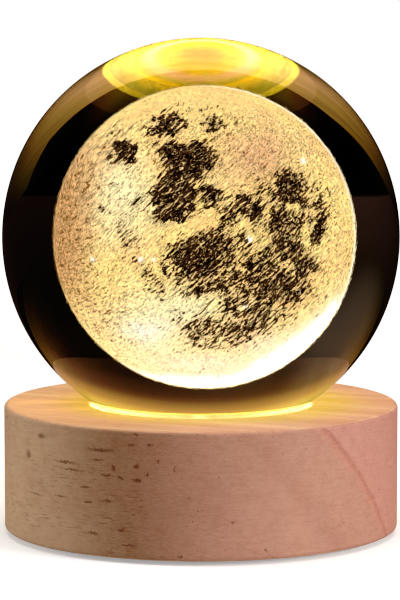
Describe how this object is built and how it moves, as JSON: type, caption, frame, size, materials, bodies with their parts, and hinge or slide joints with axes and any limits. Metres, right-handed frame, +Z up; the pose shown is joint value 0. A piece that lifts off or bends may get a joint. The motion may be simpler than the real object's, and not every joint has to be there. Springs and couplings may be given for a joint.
{
  "type": "moon lamp",
  "caption": "Solid glass ball with a moon engraved inside it, resting in a round wooden base that lights it from below.",
  "frame": {"origin": "on the surface it stands on, under the middle of the round base", "axes": "+Z up along the axis of the base and the ball; the front faces -Y; the power inlet and the switch face +Y"},
  "size_m": [0.08, 0.08, 0.0997],
  "materials": {
    "crystal": "polished clear optical glass",
    "engraving": "white laser-made dots inside the glass, lit warm from below",
    "silicone": "clear silicone",
    "wood": "turned ash-like wood, oiled, with dark short pores",
    "lens": "frosted acrylic",
    "board_white": "white solder mask",
    "led_white": "white package",
    "phosphor": "yellow phosphor gel",
    "screw_steel": "zinc plated",
    "board_green": "green solder mask",
    "chip_black": "moulded epoxy",
    "tinned": "tinned",
    "resistor_body": "thick film resistor",
    "capacitor_can": "drawn can",
    "inlet_steel": "nickel plated",
    "inlet_plastic": "moulded",
    "contact_gold": "gold flash",
    "switch_plastic": "moulded",
    "button_plastic": "moulded, satin",
    "spring_steel": "spring wire",
    "bezel_plastic": "moulded, fine texture",
    "wire_red": "insulation",
    "wire_black": "insulation",
    "cover_plastic": "moulded, fine texture",
    "feet_rubber": "soft rubber"
  },
  "bodies": {
    "base": {"wooden_base": "wood", "led_lens": "lens", "led_board": "board_white", "led_chips": "led_white", "led_phosphors": "phosphor", "led_board_screws": "screw_steel", "driver_board": "board_green", "driver_board_screws": "screw_steel", "driver_chip": "chip_black", "driver_chip_legs": "tinned", "resistors": "resistor_body", "capacitor": "capacitor_can", "power_inlet_shell": "inlet_steel", "power_inlet_core": "inlet_plastic", "power_inlet_contacts": "contact_gold", "switch_housing": "switch_plastic", "switch_terminals": "tinned", "return_spring": "spring_steel", "rear_bezel": "bezel_plastic", "lead_red": "wire_red", "lead_black": "wire_black", "base_cover": "cover_plastic", "cover_screws": "screw_steel", "rubber_feet": "feet_rubber"},
    "seat": {"seat_ring": "silicone"},
    "crystal": {"crystal_ball": "crystal", "engraved_moon": "engraving"},
    "button": {"power_button": "button_plastic"}
  },
  "joints": [
    {"name": "ball_turn", "type": "hinge", "parent": "base", "child": "seat", "pos_m": [0, 0, 0.02325], "axis": [0, 0, 1], "continuous": true},
    {"name": "ball_lift", "type": "slide", "parent": "seat", "child": "crystal", "axis": [0, 0, 1], "range_m": [0, 0.03]},
    {"name": "button_press", "type": "slide", "parent": "base", "child": "button", "axis": [0, -1, 0], "range_m": [0, 0.0008], "stiffness_N_per_m": 600, "springref_m": -0.0008, "deforming": ["return_spring"]}
  ]
}
